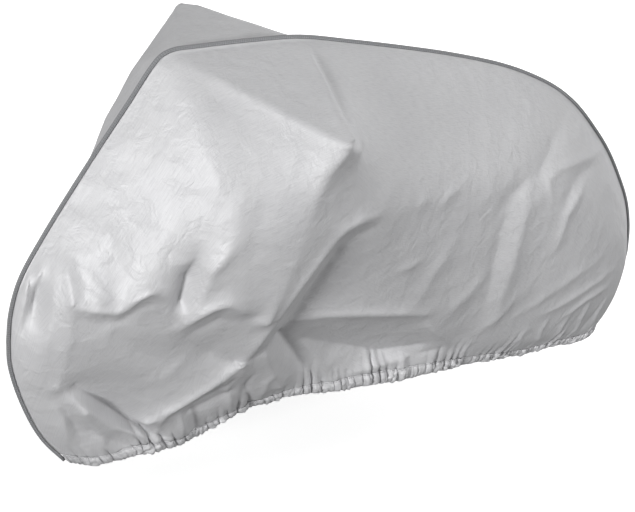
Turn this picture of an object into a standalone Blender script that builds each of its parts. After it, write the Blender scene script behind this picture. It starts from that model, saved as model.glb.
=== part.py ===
"""Fitted bicycle cover: two cloth side panels joined by one bound seam, hanging as it does over a bicycle.

Everything is laid out in metres over the bicycle that the cover hides: x runs forward from the middle of
the wheelbase, y to the rider's left and z up from the floor under the tyres. The finished solids are then
moved so that the origin is the point where the handlebar stem carries the cloth.
"""

import math

import bmesh
import bpy
import numpy as np

# The point under the top seam that rests on the stem, which becomes the origin.
STEM_X = 0.340
STEM_Z = 1.110

CLOTH = 0.0015  # thickness of the coated cloth
SEAM_HALF_GAP = 0.00015  # each panel's edge stays this far from the middle plane
SEAM_ALLOWANCE = 0.0065  # the two edges stand up this far inside the binding
TAPE = 0.0012  # thickness of the binding tape
TAPE_HEIGHT = 0.0088  # how far the folded binding stands out from the seam line
TAPE_START = 0.0018  # height above the seam line where the binding's two legs end
FIT_GAP = 0.0004  # clearance between the binding and the cloth in it

COLUMNS = 82  # cells of a panel from front to rear
ROWS = 20  # cells of a panel from seam to hem
SOLVE_COLUMNS = 240  # finer grid on which the folds are worked out
SOLVE_ROWS = 120
FOLD_HOLD = 40.0  # how firmly a fold line holds the cloth against its own tension
SOLVE_ROUNDS = 420
SMOOTH_PASSES = 2  # rounds the folds a little
WRINKLE_ROOM = 0.03  # half-width under which the softer folds grow smaller, down to none at the seam

RUFFLE = 0.0055  # how far the gathered hem swings in and out
RUFFLE_RISE = 0.004  # how far it swings up and down
RUFFLE_ROOM = 0.03  # half-width under which a ruffle grows smaller
RUFFLE_SHARE = 0.7  # a ruffle's usual size, and the rest is unevenness
RUFFLE_TURNS = (2.1, 0.7)  # radians of unevenness per column
HEM_ROLL = 0.010  # how far the elastic draws the last of the cloth inwards
ROLL_ROOM = 0.06  # half-width under which it is drawn in less
HEM_ROWS = 2  # rows of cells that the ruffles take
END_COLUMNS = 2  # columns at each tip that stay smooth

# The seam seen from the side, from the front tip of the hem over the top to its rear tip.
# columns: x, z
FRONT_LOW_SEAM = ((0.800, 0.098), (0.866, 0.190), (0.912, 0.298), (0.941, 0.409), (0.944, 0.475))
TOP_SEAM = (
    (0.944, 0.475), (0.938, 0.545), (0.916, 0.625), (0.862, 0.722), (0.758, 0.881), (0.667, 1.012),
    (0.612, 1.092), (0.592, 1.112), (0.566, 1.121), (0.520, 1.122), (0.378, 1.121), (0.250, 1.115),
    (0.109, 1.088), (-0.036, 1.057), (-0.189, 1.021), (-0.352, 0.974), (-0.456, 0.933), (-0.548, 0.886),
    (-0.628, 0.828), (-0.705, 0.752), (-0.773, 0.674), (-0.834, 0.585), (-0.885, 0.495), (-0.915, 0.405),
    (-0.926, 0.330),
)
REAR_LOW_SEAM = ((-0.926, 0.330), (-0.922, 0.250), (-0.900, 0.165), (-0.850, 0.090))

# The gathered hem, from the front tip to the rear tip. columns: x, half-width y, z
HEM = (
    (0.800, 0.000, 0.098), (0.740, 0.045, 0.090), (0.640, 0.058, 0.100), (0.520, 0.055, 0.108),
    (0.410, 0.085, 0.140), (0.250, 0.120, 0.182), (0.060, 0.130, 0.186), (-0.150, 0.115, 0.176),
    (-0.330, 0.080, 0.152), (-0.480, 0.058, 0.118), (-0.640, 0.055, 0.105), (-0.760, 0.045, 0.088),
    (-0.850, 0.000, 0.090),
)

# How the cells are shared out, closer together where the cloth turns sharply.
# columns: share of cells, place
COLUMN_SHARES = (
    (0.0, 0.0), (0.10, 0.085), (0.24, 0.225), (0.36, 0.315), (0.56, 0.490), (0.78, 0.740), (1.0, 1.0),
)
ROW_SHARES = ((0.0, 0.0), (0.12, 0.055), (0.40, 0.310), (0.80, 0.780), (0.92, 0.935), (1.0, 1.0))

# How far the cloth stands from the middle plane before any fold, a row for each section.
# columns: share of the way from the front nose to the rear nose, then the half-width at each of DEPTHS
DEPTHS = (0.0, 0.06, 0.16, 0.35, 0.62, 0.86, 1.0)  # share of the way from the seam to the hem
SECTIONS = (
    (0.00, 0.000, 0.000, 0.000, 0.000, 0.000, 0.000, 0.000),
    (0.06, 0.000, 0.014, 0.034, 0.060, 0.070, 0.060, 0.040),
    (0.16, 0.000, 0.028, 0.068, 0.120, 0.140, 0.105, 0.058),
    (0.26, 0.000, 0.040, 0.095, 0.165, 0.180, 0.125, 0.055),
    (0.33, 0.000, 0.045, 0.108, 0.180, 0.190, 0.135, 0.070),
    (0.39, 0.000, 0.048, 0.110, 0.180, 0.185, 0.150, 0.100),
    (0.46, 0.000, 0.046, 0.105, 0.170, 0.180, 0.155, 0.120),
    (0.54, 0.000, 0.044, 0.102, 0.160, 0.175, 0.155, 0.130),
    (0.64, 0.000, 0.042, 0.096, 0.150, 0.165, 0.148, 0.112),
    (0.76, 0.000, 0.036, 0.080, 0.130, 0.150, 0.128, 0.074),
    (0.88, 0.000, 0.024, 0.056, 0.092, 0.108, 0.092, 0.056),
    (0.96, 0.000, 0.010, 0.026, 0.046, 0.054, 0.048, 0.040),
    (1.00, 0.000, 0.000, 0.000, 0.000, 0.000, 0.000, 0.000),
)

# Folds, each a line of points that the cloth passes through. columns of a point: x, z, half-width y
LEFT_FOLDS = {
    "front_of_bar": ((0.571, 1.119, 0.004), (0.319, 1.007, 0.350)),
    "back_of_bar": ((0.234, 1.111, 0.004), (0.300, 1.014, 0.340)),
    "grip_tail": ((0.321, 1.005, 0.350), (0.296, 0.990, 0.341), (0.259, 0.972, 0.318)),
    "behind_grip": ((0.210, 1.003, 0.212), (0.216, 0.985, 0.232), (0.192, 0.950, 0.244)),
    "below_grip": (
        (0.327, 0.991, 0.349), (0.361, 0.954, 0.347), (0.382, 0.898, 0.342), (0.393, 0.818, 0.332),
        (0.407, 0.730, 0.318), (0.424, 0.638, 0.300), (0.443, 0.557, 0.283),
    ),
    "side_lip": ((0.301, 0.782, 0.318), (0.249, 0.796, 0.312), (0.191, 0.797, 0.300)),
    "flap_edge": (
        (0.301, 0.782, 0.318), (0.338, 0.718, 0.308), (0.377, 0.647, 0.293), (0.407, 0.572, 0.272),
        (0.437, 0.486, 0.245), (0.442, 0.424, 0.215), (0.442, 0.350, 0.175),
    ),
    "behind_flap": (
        (0.274, 0.715, 0.282), (0.301, 0.619, 0.246), (0.331, 0.524, 0.212), (0.346, 0.466, 0.186),
    ),
    "facet_rear": ((0.186, 0.790, 0.298), (0.114, 0.684, 0.268), (0.037, 0.608, 0.250)),
    "pedal_lip": (
        (0.341, 0.503, 0.205), (0.287, 0.507, 0.214), (0.209, 0.498, 0.220), (0.120, 0.481, 0.222),
        (0.027, 0.458, 0.218), (-0.069, 0.427, 0.207),
    ),
    "pedal_end": ((-0.069, 0.427, 0.207), (-0.108, 0.353, 0.180), (-0.237, 0.247, 0.135)),
    "under_pedal": (
        (0.265, 0.408, 0.146), (0.127, 0.337, 0.116), (-0.004, 0.279, 0.102), (-0.112, 0.287, 0.130),
    ),
    "front_valley": (
        (0.354, 0.468, 0.180), (0.301, 0.392, 0.148), (0.247, 0.314, 0.126), (0.176, 0.240, 0.112),
    ),
    "shin_ridge": ((0.390, 0.413, 0.200), (0.349, 0.339, 0.168), (0.295, 0.255, 0.130)),
    "pinch_edge": (
        (0.760, 0.763, 0.116), (0.744, 0.732, 0.140), (0.735, 0.696, 0.160), (0.744, 0.655, 0.172),
    ),
    "nose_band": (
        (0.837, 0.714, 0.047), (0.847, 0.675, 0.084), (0.848, 0.644, 0.110), (0.849, 0.617, 0.124),
    ),
    "seam_ridge": ((0.913, 0.625, 0.029), (0.920, 0.575, 0.028), (0.922, 0.517, 0.026)),
    "nose_valley": ((0.889, 0.655, 0.038), (0.897, 0.589, 0.035), (0.906, 0.535, 0.046)),
    "band_edge": ((0.848, 0.614, 0.120), (0.854, 0.498, 0.104), (0.861, 0.372, 0.072)),
    "wheel_lip": (
        (0.848, 0.614, 0.120), (0.806, 0.606, 0.150), (0.768, 0.602, 0.164), (0.750, 0.615, 0.176),
        (0.732, 0.648, 0.198), (0.707, 0.666, 0.214), (0.687, 0.652, 0.214), (0.664, 0.636, 0.212),
        (0.650, 0.594, 0.207), (0.625, 0.554, 0.206),
    ),
    "fold_crest": (
        (0.557, 0.765, 0.278), (0.585, 0.714, 0.264), (0.603, 0.630, 0.232), (0.623, 0.556, 0.206),
    ),
    "fold_valley": ((0.603, 0.751, 0.228), (0.615, 0.683, 0.206), (0.627, 0.615, 0.194)),
    "hub_lip": (
        (0.623, 0.554, 0.206), (0.598, 0.596, 0.236), (0.575, 0.619, 0.256), (0.548, 0.631, 0.270),
        (0.512, 0.601, 0.272), (0.466, 0.577, 0.266),
    ),
    "hub_valley": ((0.603, 0.516, 0.190), (0.528, 0.449, 0.166), (0.458, 0.403, 0.178)),
    "tyre_ridge": (
        (0.452, 0.408, 0.202), (0.503, 0.346, 0.166), (0.557, 0.306, 0.146), (0.608, 0.264, 0.126),
        (0.646, 0.226, 0.104),
    ),
    "tyre_slit": ((0.444, 0.287, 0.122), (0.487, 0.255, 0.104), (0.532, 0.235, 0.094)),
    "wheel_valley": (
        (0.822, 0.366, 0.066), (0.741, 0.281, 0.044), (0.664, 0.213, 0.048), (0.587, 0.155, 0.060),
    ),
    "toe_ridge": ((0.850, 0.343, 0.062), (0.797, 0.289, 0.086), (0.726, 0.173, 0.062)),
    "ankle_fold": ((0.598, 0.254, 0.118), (0.563, 0.142, 0.078)),
}
RIGHT_FOLDS = {
    "front_of_bar": ((0.571, 1.117, 0.004), (0.377, 1.092, 0.352)),
    "back_of_bar": ((0.234, 1.108, 0.004), (0.352, 1.104, 0.290), (0.377, 1.092, 0.352)),
    "nose_to_bar": (
        (0.757, 0.872, 0.006), (0.674, 0.938, 0.098), (0.578, 0.992, 0.188), (0.377, 1.092, 0.352),
    ),
    "grip_tail": ((0.377, 1.092, 0.352), (0.330, 1.030, 0.308)),
    "behind_grip": ((0.222, 1.025, 0.176), (0.235, 1.010, 0.200), (0.230, 0.960, 0.230)),
    "below_grip": ((0.377, 1.088, 0.352), (0.375, 0.960, 0.335), (0.352, 0.800, 0.300)),
    "flap_edge": (
        (0.352, 0.800, 0.300), (0.382, 0.640, 0.265), (0.430, 0.480, 0.225), (0.462, 0.300, 0.150),
    ),
    "behind_flap": ((0.245, 0.700, 0.250), (0.262, 0.520, 0.190), (0.330, 0.360, 0.150)),
    "pedal_lip": (
        (0.300, 0.470, 0.178), (0.120, 0.445, 0.200), (-0.060, 0.390, 0.185), (-0.200, 0.310, 0.160),
    ),
    "under_pedal_lip": ((0.230, 0.405, 0.150), (0.070, 0.375, 0.152), (-0.090, 0.330, 0.148)),
    "nose_ridge": (
        (0.830, 0.700, 0.060), (0.836, 0.600, 0.105), (0.856, 0.500, 0.100), (0.872, 0.400, 0.075),
    ),
    "nose_valley": ((0.892, 0.640, 0.024), (0.908, 0.560, 0.036), (0.912, 0.480, 0.046)),
    "wheel_lip": (
        (0.820, 0.600, 0.130), (0.740, 0.640, 0.185), (0.640, 0.600, 0.205), (0.560, 0.520, 0.215),
    ),
    "fork_valley": ((0.640, 0.780, 0.186), (0.610, 0.690, 0.196), (0.640, 0.640, 0.200)),
    "fork_ridge": ((0.560, 0.820, 0.235), (0.530, 0.700, 0.262), (0.560, 0.520, 0.215)),
    "wheel_ledge": (
        (0.840, 0.340, 0.075), (0.740, 0.290, 0.112), (0.620, 0.262, 0.135), (0.500, 0.340, 0.170),
    ),
    "saddle_fold": ((-0.120, 0.860, 0.120), (-0.210, 0.640, 0.172), (-0.240, 0.430, 0.165)),
    "rear_band": (
        (-0.470, 0.720, 0.118), (-0.450, 0.540, 0.152), (-0.420, 0.340, 0.140), (-0.440, 0.190, 0.090),
    ),
    "rear_lip": ((-0.330, 0.240, 0.122), (-0.500, 0.275, 0.118), (-0.700, 0.300, 0.102)),
}

# Softer folds on top of those, each a ridge or a hollow along a line.
# columns: height, reach to each side, roundness, then the line's points x, z
LEFT_WRINKLES = {
    "rear_band": (
        0.012, 0.032, 0.010,
        (-0.379, 0.702), (-0.352, 0.617), (-0.335, 0.519), (-0.320, 0.406),
        (-0.326, 0.278),
    ),
    "rear_band_back": (
        -0.009, 0.024, 0.012,
        (-0.322, 0.694), (-0.283, 0.618), (-0.271, 0.525), (-0.274, 0.393),
    ),
    "saddle_fold": (
        -0.009, 0.026, 0.014,
        (-0.617, 0.835), (-0.503, 0.790), (-0.425, 0.736), (-0.308, 0.699),
        (-0.249, 0.649),
    ),
    "stay_fold_1": (0.007, 0.022, 0.010, (-0.252, 0.506), (-0.181, 0.442), (-0.122, 0.364)),
    "stay_fold_2": (0.006, 0.024, 0.012, (-0.113, 0.632), (-0.044, 0.551), (-0.025, 0.482)),
    "chest_fold_1": (0.008, 0.026, 0.012, (0.644, 0.994), (0.628, 0.931), (0.609, 0.868)),
    "chest_fold_2": (-0.007, 0.024, 0.010, (0.690, 0.926), (0.670, 0.860), (0.667, 0.781)),
    "hip_fold": (0.006, 0.022, 0.010, (0.511, 0.916), (0.534, 0.849), (0.546, 0.776)),
    "hip_fold_2": (-0.005, 0.020, 0.009, (0.483, 0.878), (0.500, 0.801), (0.507, 0.736)),
    "shoulder_fold": (-0.004, 0.022, 0.010, (0.560, 1.082), (0.505, 1.043), (0.468, 0.997)),
    "facet_soft_1": (0.005, 0.024, 0.012, (0.811, 0.547), (0.758, 0.464), (0.659, 0.387)),
    "facet_soft_2": (-0.005, 0.024, 0.012, (0.772, 0.549), (0.697, 0.479), (0.595, 0.413)),
    "facet_soft_3": (0.005, 0.020, 0.009, (0.655, 0.361), (0.616, 0.402), (0.577, 0.453)),
}
RIGHT_WRINKLES = {
    "chest_fold": (0.010, 0.030, 0.010, (0.700, 0.900), (0.640, 0.820), (0.600, 0.740)),
    "chest_fold_back": (-0.008, 0.026, 0.010, (0.620, 0.960), (0.560, 0.860), (0.530, 0.780)),
    "saddle_ridge": (0.009, 0.024, 0.009, (-0.120, 0.880), (-0.210, 0.660), (-0.240, 0.430)),
    "saddle_hollow": (-0.008, 0.022, 0.009, (-0.180, 0.860), (-0.260, 0.650), (-0.290, 0.440)),
    "rear_ridge": (0.013, 0.030, 0.012, (-0.480, 0.720), (-0.460, 0.540), (-0.430, 0.340), (-0.440, 0.210)),
}


def spline(points, steps):
    """Evenly spaced points on a smooth curve through the given ones."""
    points = np.array(points, float)
    chords = np.linalg.norm(np.diff(points, axis=0), axis=1) ** 0.5
    at = np.concatenate([[0.0], np.cumsum(chords)])
    slopes = np.gradient(points, at, axis=0)
    fine = np.linspace(0.0, at[-1], 40 * len(points))
    k = np.clip(np.searchsorted(at, fine, side="right") - 1, 0, len(at) - 2)
    width = at[k + 1] - at[k]
    t = ((fine - at[k]) / width)[:, None]
    width = width[:, None]
    curve = (
        (2 * t**3 - 3 * t**2 + 1) * points[k]
        + (t**3 - 2 * t**2 + t) * width * slopes[k]
        + (3 * t**2 - 2 * t**3) * points[k + 1]
        + (t**3 - t**2) * width * slopes[k + 1]
    )
    along = np.concatenate([[0.0], np.cumsum(np.linalg.norm(np.diff(curve, axis=0), axis=1))])
    even = np.linspace(0.0, along[-1], steps + 1)
    return np.stack([np.interp(even, along, curve[:, k]) for k in range(points.shape[1])], axis=1)


def side_view(columns, rows):
    """x and z of a panel's grid seen from the side, between the seam's three stretches and the hem."""
    u = np.linspace(0.0, 1.0, columns + 1)[:, None, None]
    v = np.linspace(0.0, 1.0, rows + 1)[None, :, None]
    top = spline(TOP_SEAM, columns)[:, None, :]
    hem = spline(HEM, columns)[:, None, [0, 2]]
    front = spline(FRONT_LOW_SEAM, rows)[::-1][None, :, :]
    rear = spline(REAR_LOW_SEAM, rows)[None, :, :]
    top_corners = (1 - u) * top[0, 0] + u * top[-1, 0]
    hem_corners = (1 - u) * hem[0, 0] + u * hem[-1, 0]
    corners = (1 - v) * top_corners + v * hem_corners
    return (1 - v) * top + v * hem + (1 - u) * front + u * rear - corners


def bulge(columns, rows):
    """Half-width of the unfolded cloth over the panel's grid, smoothly between the sections."""
    table = np.array(SECTIONS)
    down = np.linspace(0.0, 1.0, rows + 1)
    across = np.linspace(0.0, 1.0, columns + 1)
    by_depth = np.array([smooth_through(DEPTHS, row, down) for row in table[:, 1:]])
    return np.array([smooth_through(table[:, 0], by_depth[:, k], across) for k in range(rows + 1)]).T


def smooth_through(at, values, wanted):
    """Values at the wanted places on a smooth curve that never overshoots the given ones."""
    at = np.asarray(at, float)
    values = np.asarray(values, float)
    rise = np.diff(values) / np.diff(at)
    slope = np.zeros(len(at))
    same_way = rise[:-1] * rise[1:] > 0
    middle = 2 * rise[:-1] * rise[1:] / np.where(same_way, rise[:-1] + rise[1:], 1.0)
    slope[1:-1][same_way] = middle[same_way]
    slope[0] = rise[0]
    slope[-1] = rise[-1]
    k = np.clip(np.searchsorted(at, wanted, side="right") - 1, 0, len(at) - 2)
    width = at[k + 1] - at[k]
    t = (wanted - at[k]) / width
    return (
        (2 * t**3 - 3 * t**2 + 1) * values[k]
        + (t**3 - 2 * t**2 + t) * width * slope[k]
        + (3 * t**2 - 2 * t**3) * values[k + 1]
        + (t**3 - t**2) * width * slope[k + 1]
    )


def fold_samples(folds):
    """Points every few millimetres along every fold line."""
    found = []
    for line in folds.values():
        line = np.array(line)
        for start, end in zip(line[:-1], line[1:]):
            steps = max(2, int(np.linalg.norm(end - start) / 0.004))
            found.append(start + (end - start) * np.linspace(0.0, 1.0, steps + 1)[:, None])
    return np.concatenate(found)


def places_in(plan, points):
    """Each point's cell in a grid seen from the side: its four corners' flat indices and their shares."""
    columns, rows = plan.shape[0] - 1, plan.shape[1] - 1
    flat = plan.reshape(-1, 2)
    nearest = np.array([np.argmin((flat[:, 0] - x) ** 2 + (flat[:, 1] - z) ** 2) for x, z in points])
    i, j = nearest // (rows + 1), nearest % (rows + 1)
    i0, j0 = np.clip(i, 1, columns - 1), np.clip(j, 1, rows - 1)
    along = (plan[i0 + 1, j0] - plan[i0 - 1, j0]) / 2
    down = (plan[i0, j0 + 1] - plan[i0, j0 - 1]) / 2
    gap = points - plan[i0, j0]
    scale = along[:, 0] * down[:, 1] - along[:, 1] * down[:, 0]
    s = np.clip(i0 + (gap[:, 0] * down[:, 1] - gap[:, 1] * down[:, 0]) / scale, 0, columns - 1e-6)
    t = np.clip(j0 + (along[:, 0] * gap[:, 1] - along[:, 1] * gap[:, 0]) / scale, 0, rows - 1e-6)
    i, j = s.astype(int), t.astype(int)
    s, t = s - i, t - j
    corner = i * (rows + 1) + j
    corners = np.stack([corner, corner + rows + 1, corner + 1, corner + rows + 2], axis=1)
    shares = np.stack([(1 - s) * (1 - t), s * (1 - t), (1 - s) * t, s * t], axis=1)
    return corners, shares


def wrinkled(plan, wrinkles):
    """Height that the softer folds add over a grid, fading out at both ends of each line."""
    added = np.zeros(plan.shape[:2])
    for height, reach, roundness, *line in wrinkles.values():
        line = np.array(line)
        lengths = np.linalg.norm(np.diff(line, axis=0), axis=1)
        starts = np.concatenate([[0.0], np.cumsum(lengths)])
        nearest = np.full(plan.shape[:2], np.inf)
        place = np.zeros(plan.shape[:2])
        for start, end, before, length in zip(line[:-1], line[1:], starts, lengths):
            share = np.clip(((plan - start) @ (end - start)) / length**2, 0.0, 1.0)
            gap = np.linalg.norm(plan - start - share[..., None] * (end - start), axis=-1)
            closer = gap < nearest
            nearest[closer] = gap[closer]
            place[closer] = (before + share * length)[closer]
        taper = np.sqrt(np.sin(math.pi * np.clip(place / starts[-1], 0.0, 1.0)).clip(0.0))
        added += height * taper * np.exp(-(np.sqrt(nearest**2 + roundness**2) - roundness) / reach)
    return added


def stretched(folds):
    """Half-width over the fine grid: the sections' bulge, pulled taut through every fold line."""
    plan = side_view(SOLVE_COLUMNS, SOLVE_ROWS)
    base = bulge(SOLVE_COLUMNS, SOLVE_ROWS)
    lines = fold_samples(folds)
    corners, shares = places_in(plan, lines[:, :2])
    wanted = lines[:, 2] - (base.reshape(-1)[corners] * shares).sum(axis=1)
    inside = np.zeros_like(base, bool)
    inside[1:-1, 1:-1] = True

    def spread(values):
        back = np.bincount(corners.reshape(-1), (shares * values[:, None]).reshape(-1), base.size)
        return FOLD_HOLD * back.reshape(base.shape) * inside

    def pull(offset):
        tension = np.zeros_like(offset)
        tension[1:-1, 1:-1] = 4 * offset[1:-1, 1:-1] - (
            offset[:-2, 1:-1] + offset[2:, 1:-1] + offset[1:-1, :-2] + offset[1:-1, 2:]
        )
        return tension + spread((offset.reshape(-1)[corners] * shares).sum(axis=1))

    hold = np.bincount(corners.reshape(-1), (shares**2).reshape(-1), base.size)
    weight = 4.0 + FOLD_HOLD * hold.reshape(base.shape)
    offset = np.zeros_like(base)
    left = spread(wanted)
    step = left / weight
    size = (left * step).sum()
    for _ in range(SOLVE_ROUNDS):
        pulled = pull(step)
        length = size / (step * pulled).sum()
        offset += length * step
        left -= length * pulled
        scaled = left / weight
        size_before, size = size, (left * scaled).sum()
        step = scaled + size / size_before * step
    shape = base + offset
    for _ in range(SMOOTH_PASSES):
        shape[1:-1, 1:-1] = 0.5 * shape[1:-1, 1:-1] + 0.125 * (
            shape[:-2, 1:-1] + shape[2:, 1:-1] + shape[1:-1, :-2] + shape[1:-1, 2:]
        )
    return shape


def sample(grid, u, v):
    """Bilinear value of a grid over the unit square."""
    a = u * (grid.shape[0] - 1)
    b = v * (grid.shape[1] - 1)
    i = np.clip(a.astype(int), 0, grid.shape[0] - 2)
    j = np.clip(b.astype(int), 0, grid.shape[1] - 2)
    s = (a - i)[..., None]
    t = (b - j)[..., None]
    grid = grid.reshape(grid.shape[0], grid.shape[1], -1)
    return (
        grid[i, j] * (1 - s) * (1 - t) + grid[i + 1, j] * s * (1 - t)
        + grid[i, j + 1] * (1 - s) * t + grid[i + 1, j + 1] * s * t
    )


def cell_places():
    """Share of the way along and down a panel of each point of its grid."""
    along = smooth_through(*np.array(COLUMN_SHARES).T, np.linspace(0.0, 1.0, COLUMNS + 1))
    down = smooth_through(*np.array(ROW_SHARES).T, np.linspace(0.0, 1.0, ROWS + 1))
    return np.meshgrid(along, down, indexing="ij")


def panel_points(folds, wrinkles):
    """Mid-surface points of a panel on the +y side, with its hem gathered."""
    plan = side_view(SOLVE_COLUMNS, SOLVE_ROWS)
    u, v = cell_places()
    width = stretched(folds)
    width += wrinkled(plan, wrinkles) * np.clip(width / WRINKLE_ROOM, 0.0, 1.0)
    across = sample(width, u, v)[..., 0]
    places = sample(plan, u, v)
    up = places[..., 1].copy()
    slow, slower = RUFFLE_TURNS
    for row in range(ROWS - HEM_ROWS + 1, ROWS + 1):
        part = (row - ROWS + HEM_ROWS) / HEM_ROWS
        for column in range(END_COLUMNS, COLUMNS - END_COLUMNS + 1):
            room = max(across[column, row], 0.0)
            beat = math.sin(slow * column) * math.sin(slower * column + 1.0)
            uneven = RUFFLE_SHARE + (1 - RUFFLE_SHARE) * beat
            swing = (1 if column % 2 else -1) * part * uneven * min(1.0, room / RUFFLE_ROOM)
            across[column, row] += swing * RUFFLE - part**2 * HEM_ROLL * min(1.0, room / ROLL_ROOM)
            up[column, row] += swing * RUFFLE_RISE
    edge = SEAM_HALF_GAP + CLOTH / 2
    return np.stack([places[..., 0], np.maximum(across, 0.0) + edge, up], axis=-1)


def clear_scene():
    for leftover in list(bpy.data.objects):
        bpy.data.objects.remove(leftover, do_unlink=True)


def material(name, colour, roughness, metallic=0.0):
    made = bpy.data.materials.new(name)
    made.use_nodes = True
    shader = made.node_tree.nodes["Principled BSDF"]
    shader.inputs["Base Color"].default_value = (*colour, 1.0)
    shader.inputs["Roughness"].default_value = roughness
    shader.inputs["Metallic"].default_value = metallic
    return made


def seam_path(points):
    """Indices of the panel's grid along the seam, from the front tip to the rear tip."""
    columns, rows = points.shape[0] - 1, points.shape[1] - 1
    up = [(0, row) for row in range(rows, 0, -1)]
    over = [(column, 0) for column in range(columns + 1)]
    down = [(columns, row) for row in range(1, rows + 1)]
    return up + over + down


def outward(path):
    """Unit normals, in the middle plane, that point out of the cover along a path of points."""
    along = np.gradient(path[:, [0, 2]], axis=0)
    along /= np.linalg.norm(along, axis=1)[:, None]
    return np.stack([along[:, 1], np.zeros(len(path)), -along[:, 0]], axis=1)


def panel(name, folds, wrinkles, side, finish, collection):
    """One cloth panel with its seam allowance, on the side +1 (rider's left) or -1."""
    points = panel_points(folds, wrinkles)
    path = seam_path(points)
    line = np.array([points[index] for index in path])
    allowance = line + outward(line) * SEAM_ALLOWANCE
    move = np.array((-STEM_X, 0.0, -STEM_Z))
    mirror = np.array((1.0, side, 1.0))
    shell = bmesh.new()
    rows = [[shell.verts.new((p + move) * mirror) for p in column] for column in points]
    for column in range(points.shape[0] - 1):
        for row in range(points.shape[1] - 1):
            here, after = rows[column], rows[column + 1]
            corners = [here[row], here[row + 1], after[row + 1], after[row]]
            shell.faces.new(corners if side > 0 else corners[::-1])
    edge = [shell.verts.new((p + move) * mirror) for p in allowance]
    for k in range(len(path) - 1):
        here = rows[path[k][0]][path[k][1]]
        ahead = rows[path[k + 1][0]][path[k + 1][1]]
        corners = [edge[k], here, ahead, edge[k + 1]]
        shell.faces.new(corners if side > 0 else corners[::-1])
    mesh = bpy.data.meshes.new(name)
    shell.to_mesh(mesh)
    shell.free()
    made = bpy.data.objects.new(name, mesh)
    collection.objects.link(made)
    thicken = made.modifiers.new("cloth thickness", "SOLIDIFY")
    thicken.thickness = CLOTH
    thicken.offset = 0.0
    made.data.materials.append(finish)
    made.data.shade_smooth()
    return made


def binding(finish, collection):
    """The folded tape over the two panels' edges: a channel section swept along the seam."""
    grid = sample(side_view(SOLVE_COLUMNS, SOLVE_ROWS), *cell_places())
    line = np.array([grid[index] for index in seam_path(grid)])
    path = np.stack([line[:, 0], np.zeros(len(line)), line[:, 1]], axis=1)
    normals = outward(path)
    inner = SEAM_HALF_GAP + CLOTH + FIT_GAP
    outer = inner + TAPE
    roof = SEAM_ALLOWANCE + FIT_GAP
    section = (
        (-outer, TAPE_START), (-outer, TAPE_HEIGHT), (outer, TAPE_HEIGHT), (outer, TAPE_START),
        (inner, TAPE_START), (inner, roof), (-inner, roof), (-inner, TAPE_START),
    )
    move = np.array((-STEM_X, 0.0, -STEM_Z))
    shell = bmesh.new()
    rings = [
        [shell.verts.new(p + move + n * height + np.array((0.0, y, 0.0))) for y, height in section]
        for p, n in zip(path, normals)
    ]
    for a, b in zip(rings[:-1], rings[1:]):
        for k in range(len(section)):
            after = (k + 1) % len(section)
            shell.faces.new([a[k], b[k], b[after], a[after]])
    shell.faces.new(rings[0])
    shell.faces.new(rings[-1][::-1])
    bmesh.ops.triangulate(shell, faces=[f for f in shell.faces if len(f.verts) > 4])
    bmesh.ops.recalc_face_normals(shell, faces=shell.faces)
    mesh = bpy.data.meshes.new("seam_binding")
    shell.to_mesh(mesh)
    shell.free()
    made = bpy.data.objects.new("seam_binding", mesh)
    collection.objects.link(made)
    made.data.materials.append(finish)
    return made


def main():
    clear_scene()
    parts = bpy.data.collections.new("bicycle cover")
    bpy.context.scene.collection.children.link(parts)
    cloth = material("silver coated cloth", (0.47, 0.47, 0.475), 0.45)
    tape = material("grey binding tape", (0.27, 0.272, 0.277), 0.7)
    panel("left_panel", LEFT_FOLDS, LEFT_WRINKLES, 1, cloth, parts)
    panel("right_panel", RIGHT_FOLDS, RIGHT_WRINKLES, -1, cloth, parts)
    binding(tape, parts)


main()
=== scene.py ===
import math

import bmesh
import bpy
import numpy as np
from mathutils import Matrix, Vector


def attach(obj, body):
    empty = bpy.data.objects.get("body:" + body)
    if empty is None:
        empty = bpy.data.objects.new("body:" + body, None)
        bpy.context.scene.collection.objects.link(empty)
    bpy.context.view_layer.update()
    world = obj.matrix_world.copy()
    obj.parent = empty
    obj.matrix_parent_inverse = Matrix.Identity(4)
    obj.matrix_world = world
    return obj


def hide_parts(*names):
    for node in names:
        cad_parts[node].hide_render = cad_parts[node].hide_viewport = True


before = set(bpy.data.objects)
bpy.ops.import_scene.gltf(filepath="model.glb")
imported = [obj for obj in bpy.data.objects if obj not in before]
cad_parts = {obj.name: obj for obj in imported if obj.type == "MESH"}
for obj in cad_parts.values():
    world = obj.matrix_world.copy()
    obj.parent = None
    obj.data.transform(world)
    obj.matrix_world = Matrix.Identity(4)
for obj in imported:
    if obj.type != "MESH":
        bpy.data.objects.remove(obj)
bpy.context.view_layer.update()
print("frame loaded")

# Everything is laid out over the bicycle that the cover hides: x forward from mid-wheelbase, z up from the
# floor under the tyres. The finished meshes are then moved so that the stem point is the origin.
# The curves, folds and wrinkles below are in millimetres, and all other lengths are in metres.
layout = {
    "stemX": 0.340,
    "stemZ": 1.110,
    "clothThickness": 0.0015,
    "seamHalfGap": 0.00015,
    "seamAllowance": 0.0065,
    "allowanceAsCut": 0.009,  # the tape and the stitches take up the rest
}

# The seam seen from the side, from the front tip of the hem over the top to its rear tip. columns: x, z
seamCurves = {
    "frontLow": ((800, 98), (866, 190), (912, 298), (941, 409), (944, 475)),
    "top": (
        (944, 475), (938, 545), (916, 625), (862, 722), (758, 881), (667, 1012),
        (612, 1092), (592, 1112), (566, 1121), (520, 1122), (378, 1121), (250, 1115),
        (109, 1088), (-36, 1057), (-189, 1021), (-352, 974), (-456, 933), (-548, 886),
        (-628, 828), (-705, 752), (-773, 674), (-834, 585), (-885, 495),
        (-915, 405), (-926, 330),
    ),
    "rearLow": ((-926, 330), (-922, 250), (-900, 165), (-850, 90)),
}

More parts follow.
